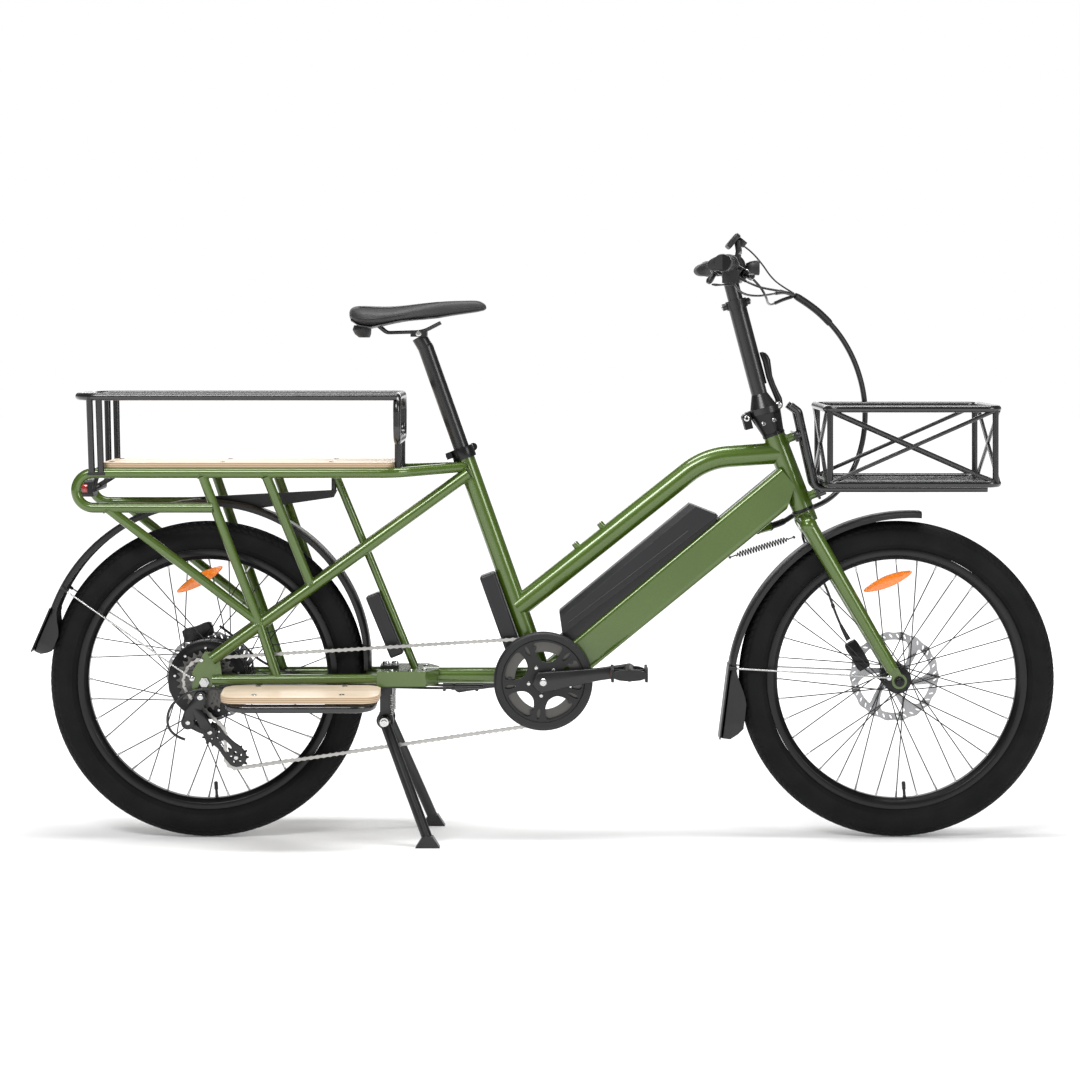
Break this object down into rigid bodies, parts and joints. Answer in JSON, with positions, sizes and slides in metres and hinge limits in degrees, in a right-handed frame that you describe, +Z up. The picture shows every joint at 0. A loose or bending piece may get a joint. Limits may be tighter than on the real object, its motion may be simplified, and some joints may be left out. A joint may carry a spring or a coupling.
{
  "type": "cargo bicycle",
  "caption": "Longtail electric cargo bicycle with a rear wood-decked rack, guard rail, running boards, front basket, folding handlepost, hub motor and centre stand.",
  "frame": {"origin": "on the ground in the mid-plane, half way along the bicycle", "axes": "+X forwards, +Y to the rider's left, +Z up"},
  "size_m": [2.0368, 0.6486, 1.203],
  "materials": {
    "frame_paint": "gloss metallic green",
    "black_metal": "satin black",
    "black_plastic": "matte black",
    "black_alloy": "black anodised",
    "steel": "bright steel",
    "rubber": "matte",
    "tyre": "matte black",
    "plywood": "clear varnish",
    "saddle_cover": "fine grain",
    "lens_red": "clear lens"
  },
  "bodies": {
    "frame": {"main_frame": "frame_paint", "rear_frame": "frame_paint", "rear_axle": "steel", "frame_bearings": "black_alloy", "seat_clamp": "black_alloy", "kickstand_mount": "black_metal", "rear_deck": "plywood", "guard_rail": "black_metal", "running_board_frames": "black_metal", "running_boards": "plywood", "rear_fender": "black_plastic", "battery_dock": "black_plastic", "controller": "black_plastic", "tail_light": "lens_red", "basket": "black_metal", "basket_bracket": "black_metal", "derailleur": "black_alloy", "chain": "steel", "rear_brake_caliper": "black_alloy", "frame_cables": "rubber", "cable_loop": "rubber"},
    "fork": {"fork": "frame_paint", "stem_base": "black_alloy", "front_axle": "black_alloy", "front_fender": "black_plastic", "front_brake_caliper": "black_alloy", "steering_spring": "black_metal"},
    "front_wheel": {"front_hub": "black_alloy", "front_rim": "black_alloy", "front_tyre": "tyre", "front_disc": "steel", "front_spokes": "black_metal"},
    "rear_wheel": {"hub_motor": "black_alloy", "rear_rim": "black_alloy", "rear_tyre": "tyre", "rear_disc": "steel", "rear_spokes": "black_metal"},
    "freewheel": {"freewheel_sprockets": "steel"},
    "crank": {"crankset": "black_alloy", "chainring": "black_plastic"},
    "pedal_right": {"pedal_right": "black_plastic"},
    "pedal_left": {"pedal_left": "black_plastic"},
    "jockey_upper": {"jockey_upper": "black_plastic"},
    "jockey_lower": {"jockey_lower": "black_plastic"},
    "handlepost": {"handlepost": "black_alloy"},
    "stem_latch": {"stem_latch_lever": "black_alloy"},
    "bar_assembly": {"stem_riser": "black_alloy", "handlebar": "black_alloy", "grips": "rubber", "bar_controls": "black_plastic", "control_cables": "rubber"},
    "brake_lever_right": {"brake_lever_right": "black_alloy"},
    "brake_lever_left": {"brake_lever_left": "black_alloy"},
    "shift_lever": {"shift_lever": "black_plastic"},
    "throttle": {"throttle_lever": "black_plastic"},
    "seat": {"seatpost": "black_alloy", "saddle": "saddle_cover"},
    "seat_lever": {"seat_quick_release": "black_alloy"},
    "kickstand": {"kickstand_legs": "black_metal"},
    "battery": {"battery": "black_plastic"}
  },
  "joints": [
    {"name": "steering", "type": "hinge", "parent": "frame", "child": "fork", "pos_m": [0.517, 0, 0.654], "axis": [-0.3633, 0, 0.9317], "range_deg": [-45, 45], "stiffness_Nm_per_rad": 8, "deforming": ["steering_spring", "cable_loop"]},
    {"name": "front_wheel_spin", "type": "hinge", "parent": "fork", "child": "front_wheel", "pos_m": [0.704, 0, 0.3145], "axis": [0, 1, 0], "continuous": true},
    {"name": "rear_wheel_spin", "type": "hinge", "parent": "frame", "child": "rear_wheel", "pos_m": [-0.668, 0, 0.3145], "axis": [0, 1, 0], "continuous": true},
    {"name": "crank_spin", "type": "hinge", "parent": "frame", "child": "crank", "pos_m": [0, 0, 0.315], "axis": [0, 1, 0], "continuous": true},
    {"name": "freewheel_spin", "type": "hinge", "parent": "frame", "child": "freewheel", "pos_m": [-0.668, 0, 0.3145], "axis": [0, 1, 0], "continuous": true},
    {"name": "jockey_upper_spin", "type": "hinge", "parent": "frame", "child": "jockey_upper", "pos_m": [-0.652, -0.0452, 0.209], "axis": [0, 1, 0], "continuous": true},
    {"name": "jockey_lower_spin", "type": "hinge", "parent": "frame", "child": "jockey_lower", "pos_m": [-0.608, -0.0452, 0.163], "axis": [0, 1, 0], "continuous": true},
    {"name": "pedal_right_spin", "type": "hinge", "parent": "crank", "child": "pedal_right", "pos_m": [0.16835, -0.133, 0.33866], "axis": [0, 1, 0], "continuous": true},
    {"name": "pedal_left_spin", "type": "hinge", "parent": "crank", "child": "pedal_left", "pos_m": [-0.16835, 0.133, 0.29134], "axis": [0, 1, 0], "continuous": true},
    {"name": "stem_fold", "type": "hinge", "parent": "fork", "child": "handlepost", "pos_m": [0.40441, 0, 0.83338], "axis": [0, 1, 0], "range_deg": [-95, 0]},
    {"name": "stem_latch_open", "type": "hinge", "parent": "handlepost", "child": "stem_latch", "pos_m": [0.46869, 0, 0.86019], "axis": [0, 1, 0], "range_deg": [0, 55]},
    {"name": "bar_height", "type": "slide", "parent": "handlepost", "child": "bar_assembly", "axis": [-0.2554, 0, 0.9668], "range_m": [0, 0.06]},
    {"name": "brake_lever_right_pull", "type": "hinge", "parent": "bar_assembly", "child": "brake_lever_right", "pos_m": [0.39208, -0.158, 1.11798], "axis": [-0.5736, 0, -0.8192], "range_deg": [0, 14], "stiffness_Nm_per_rad": 0.6},
    {"name": "brake_lever_left_pull", "type": "hinge", "parent": "bar_assembly", "child": "brake_lever_left", "pos_m": [0.39208, 0.158, 1.11798], "axis": [0.5736, 0, 0.8192], "range_deg": [0, 14], "stiffness_Nm_per_rad": 0.6},
    {"name": "shift_lever_push", "type": "hinge", "parent": "bar_assembly", "child": "shift_lever", "pos_m": [0.36427, -0.186, 1.09748], "axis": [0, 0, -1], "range_deg": [0, 30], "stiffness_Nm_per_rad": 0.1},
    {"name": "throttle_push", "type": "hinge", "parent": "bar_assembly", "child": "throttle", "pos_m": [0.35935, 0.1925, 1.13748], "axis": [-0.1403, 0.9901, 0], "range_deg": [0, 30], "stiffness_Nm_per_rad": 0.1},
    {"name": "seat_height", "type": "slide", "parent": "frame", "child": "seat", "axis": [-0.3355, 0, 0.9421], "range_m": [-0.1, 0.03]},
    {"name": "seat_lever_open", "type": "hinge", "parent": "frame", "child": "seat_lever", "pos_m": [-0.18773, 0.021, 0.75874], "axis": [-0.3355, 0, 0.9421], "range_deg": [0, 95]},
    {"name": "kickstand_fold", "type": "hinge", "parent": "frame", "child": "kickstand", "pos_m": [-0.314, 0, 0.235], "axis": [0, 1, 0], "range_deg": [0, 95]},
    {"name": "battery_slide", "type": "slide", "parent": "frame", "child": "battery", "axis": [0.7945, 0, 0.6073], "range_m": [0, 0.04]}
  ],
  "couplings": [
    {"joint": "freewheel_spin", "follows": "crank_spin", "ratio": 1.9091},
    {"joint": "jockey_lower_spin", "follows": "crank_spin", "ratio": 3.8182},
    {"joint": "jockey_upper_spin", "follows": "crank_spin", "ratio": -3.8182}
  ]
}
